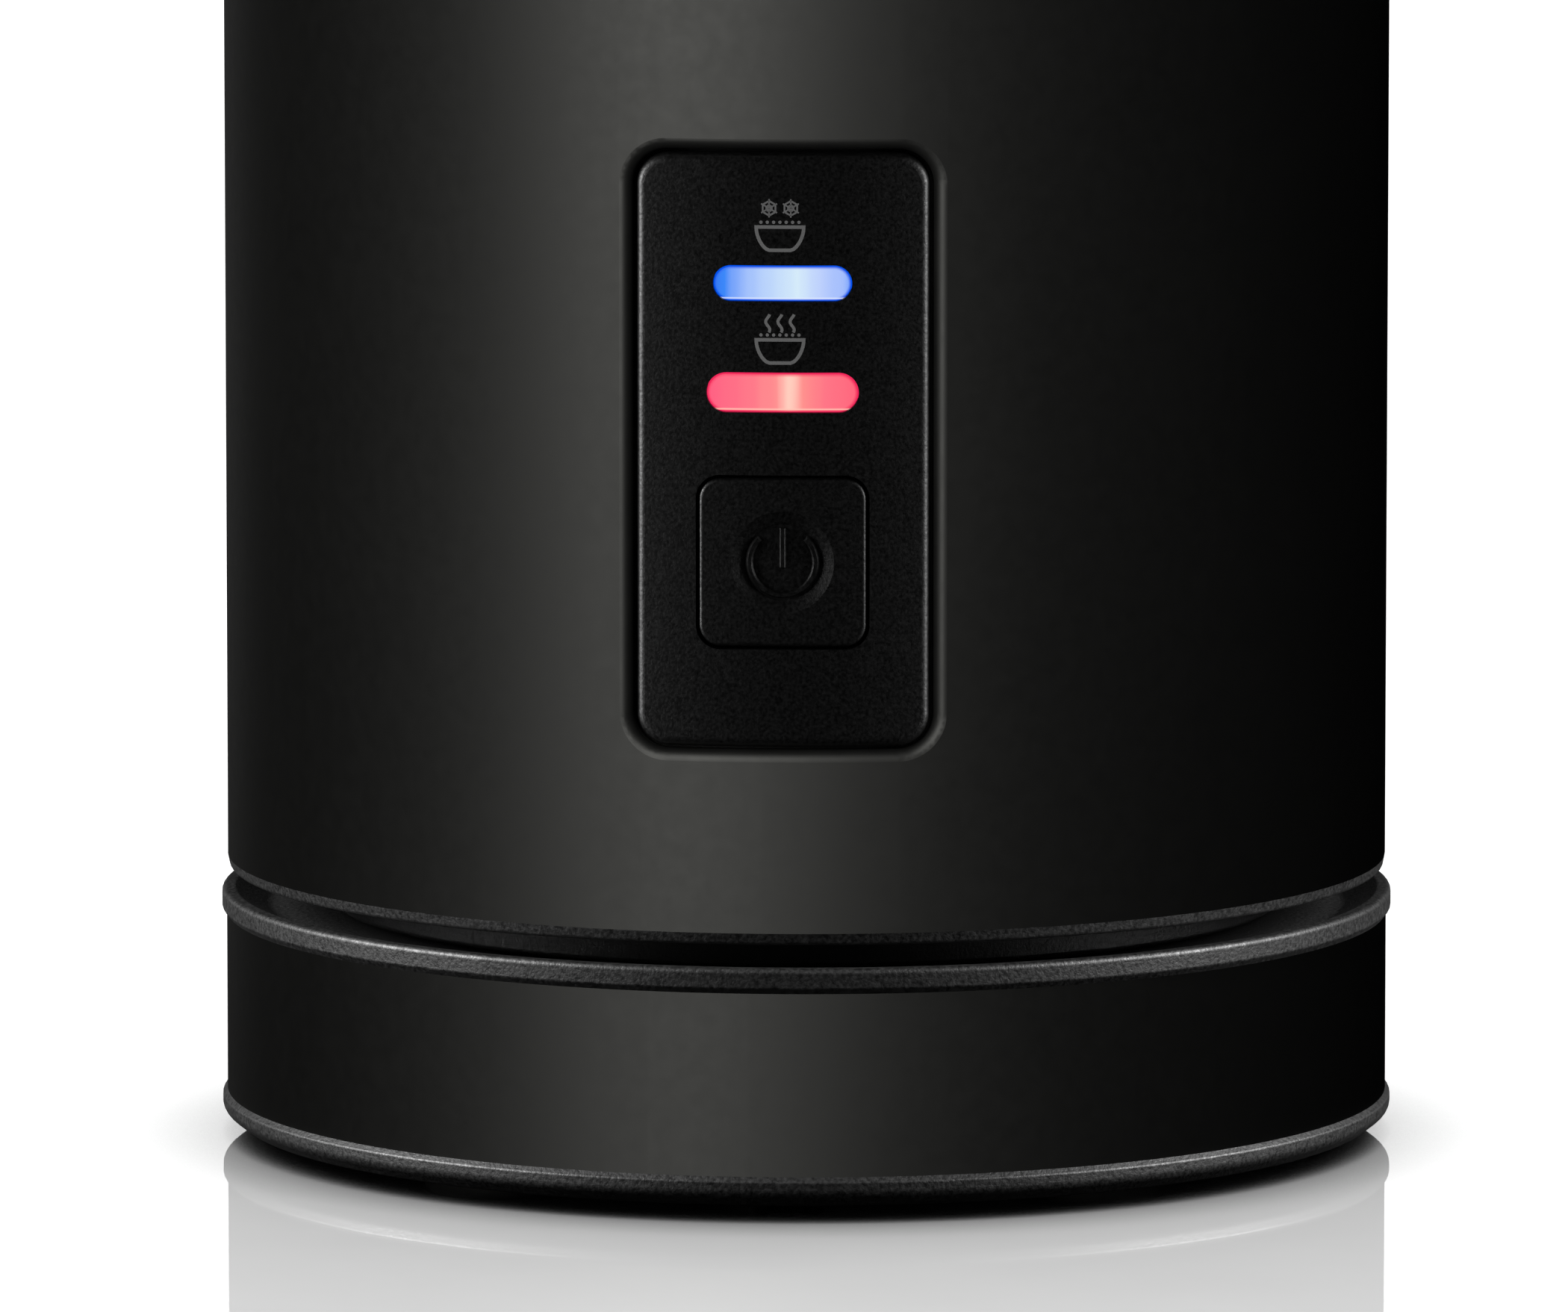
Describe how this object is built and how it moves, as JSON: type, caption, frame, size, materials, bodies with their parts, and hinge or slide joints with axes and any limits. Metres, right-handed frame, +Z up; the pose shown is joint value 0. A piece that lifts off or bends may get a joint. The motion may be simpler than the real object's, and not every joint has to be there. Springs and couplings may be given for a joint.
{
  "type": "milk frother",
  "caption": "Cordless jug milk frother: cylindrical double-walled jug with one-button light panel, magnetic coil whisk and lift-off lid, on a round power base.",
  "frame": {"origin": "on the surface that the rubber feet stand on, under the centre of the base", "axes": "+Z up along the jug's axis, -Y towards the control panel, +Y out of the cord inlet"},
  "size_m": [0.101, 0.101, 0.1805],
  "materials": {
    "black_paint": "satin black paint on thin steel",
    "textured_plastic": "fine-grained black moulding",
    "panel_plastic": "very fine-grained black moulding",
    "connector_plastic": "plain black moulding",
    "bracket_plastic": "glass-filled grey moulding",
    "relay_plastic": "blue relay case",
    "whisk_plastic": "smooth black moulding",
    "contact_brass": "bright brass",
    "screw_steel": "zinc-plated steel",
    "foot_rubber": "black rubber",
    "seal_silicone": "black silicone",
    "cup_coating": "dark non-stick coating on stainless steel",
    "heater_aluminium": "cast aluminium",
    "element_steel": "heat-dulled stainless steel",
    "motor_steel": "zinc-plated steel",
    "magnet_iron": "sintered magnet and laminated iron",
    "board_laminate": "green circuit board",
    "capacitor_can": "sleeved aluminium can",
    "blue_light": "lit blue light pipe",
    "red_light": "lit red light pipe",
    "whisk_steel": "stainless spring wire",
    "clear_window": "clear moulded window"
  },
  "bodies": {
    "base": {"base_bottom": "textured_plastic", "base_band": "black_paint", "base_top": "textured_plastic", "base_connector": "connector_plastic", "centre_contact": "contact_brass", "ring_contact": "contact_brass", "rubber_feet": "foot_rubber", "base_screws": "screw_steel", "inner_screws": "screw_steel", "cord_gland": "foot_rubber", "cord_clamp": "connector_plastic"},
    "shutter": {"slot_shutter": "connector_plastic"},
    "jug": {"outer_shell": "black_paint", "jug_bottom_cover": "textured_plastic", "cover_screws": "screw_steel", "rim_collar": "textured_plastic", "cup_seal": "seal_silicone", "inner_cup": "cup_coating", "jug_connector": "connector_plastic", "centre_pin": "contact_brass", "ring_blade": "contact_brass", "heater_plate": "heater_aluminium", "heater_element": "element_steel", "thermostat": "element_steel", "thermal_fuse": "contact_brass", "motor_can": "motor_steel", "motor_end_cap": "bracket_plastic", "field_magnets": "magnet_iron", "motor_bearings": "contact_brass", "motor_bracket": "bracket_plastic", "motor_screws": "screw_steel", "bracket_screws": "screw_steel", "power_board": "board_laminate", "board_screws": "screw_steel", "relay": "relay_plastic", "capacitors": "capacitor_can", "control_board": "board_laminate", "led_blue": "blue_light", "led_red": "red_light", "tact_switch": "connector_plastic", "panel_bezel": "panel_plastic", "panel_gasket": "seal_silicone", "light_window_blue": "blue_light", "light_window_red": "red_light"},
    "rotor": {"motor_shaft": "motor_steel", "armature": "magnet_iron", "drive_disc": "bracket_plastic", "drive_magnets": "magnet_iron"},
    "bush": {"whisk_bush": "whisk_plastic"},
    "whisk": {"whisk_frame": "whisk_plastic", "whisk_magnets": "magnet_iron", "whisk_coil": "whisk_steel"},
    "lid": {"lid_body": "textured_plastic", "lid_window": "clear_window", "lid_seal": "seal_silicone", "lid_knob": "panel_plastic", "knob_screw": "screw_steel"},
    "button": {"power_button": "panel_plastic", "switch_plunger": "connector_plastic"}
  },
  "joints": [
    {"name": "jug_swivel", "type": "hinge", "parent": "base", "child": "shutter", "pos_m": [0, 0, 0.02], "axis": [0, 0, 1], "continuous": true},
    {"name": "jug_lift", "type": "slide", "parent": "shutter", "child": "jug", "axis": [0, 0, 1], "range_m": [0, 0.06]},
    {"name": "lid_lift", "type": "slide", "parent": "jug", "child": "lid", "axis": [0, 0, 1], "range_m": [0, 0.06]},
    {"name": "motor_spin", "type": "hinge", "parent": "jug", "child": "rotor", "pos_m": [0, 0, 0.07], "axis": [0, 0, 1], "continuous": true},
    {"name": "whisk_lift", "type": "slide", "parent": "jug", "child": "bush", "axis": [0, 0, 1], "range_m": [0, 0.04]},
    {"name": "whisk_spin", "type": "hinge", "parent": "bush", "child": "whisk", "pos_m": [0, 0, 0.08], "axis": [0, 0, 1], "continuous": true},
    {"name": "button_press", "type": "slide", "parent": "jug", "child": "button", "axis": [0, 1, 0], "range_m": [0, 0.0006], "stiffness_N_per_m": 300, "springref_m": -0.002}
  ],
  "couplings": [
    {"joint": "whisk_spin", "follows": "motor_spin", "ratio": 1}
  ]
}
